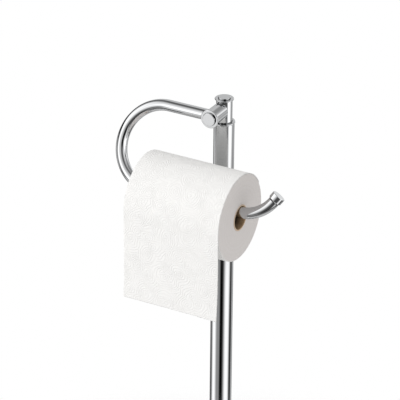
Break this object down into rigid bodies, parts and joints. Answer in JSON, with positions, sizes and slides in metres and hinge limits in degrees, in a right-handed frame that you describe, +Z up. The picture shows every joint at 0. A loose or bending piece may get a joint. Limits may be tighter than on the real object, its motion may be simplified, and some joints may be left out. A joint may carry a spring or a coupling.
{
  "type": "freestanding toilet paper holder",
  "caption": "Chrome floor stand with a weighted round base, a tube post and a bent arm with an upturned tip, holding a toilet roll with one loose sheet.",
  "frame": {"origin": "centre of the ring that the stand rests on, on the floor under the post's axis", "axes": "+Z up along the post, +X along the roll and the arm's runs towards the upturned tip, -Y towards the side where the roll hangs and its sheet comes off"},
  "size_m": [0.202, 0.2016, 0.65],
  "materials": {
    "chrome": "polished",
    "zinc_steel": "zinc plated",
    "black_steel": "black oxide",
    "iron": "painted casting",
    "pad": "matt",
    "tissue": "soft embossed tissue",
    "card": "plain cardboard"
  },
  "bodies": {
    "stand": {"base_pad": "pad", "base_weight": "iron", "base_cover": "chrome", "base_bolt": "zinc_steel", "base_spring_washer": "zinc_steel", "base_washer": "zinc_steel", "foot_ring": "chrome", "foot_insert": "zinc_steel", "post_tube": "chrome", "joint_seat": "zinc_steel", "joint_stud": "zinc_steel", "joint_insert": "zinc_steel", "post_upper": "chrome", "post_top_insert": "zinc_steel", "neck_stud": "zinc_steel", "neck_collar": "chrome", "head_neck": "chrome", "top_cap": "chrome", "boss_body": "chrome", "boss_stud": "zinc_steel", "boss_cap": "chrome", "arm_plug": "zinc_steel", "grub_screw": "black_steel", "roll_arm": "chrome", "arm_tip_cap": "chrome", "paper_sheet": "tissue"},
    "roll": {"paper_roll": "tissue", "roll_core": "card"}
  },
  "joints": [
    {"name": "roll_spin", "type": "hinge", "parent": "stand", "child": "roll", "pos_m": [0, -0.0648, 0.55137], "axis": [1, 0, 0], "continuous": true}
  ]
}
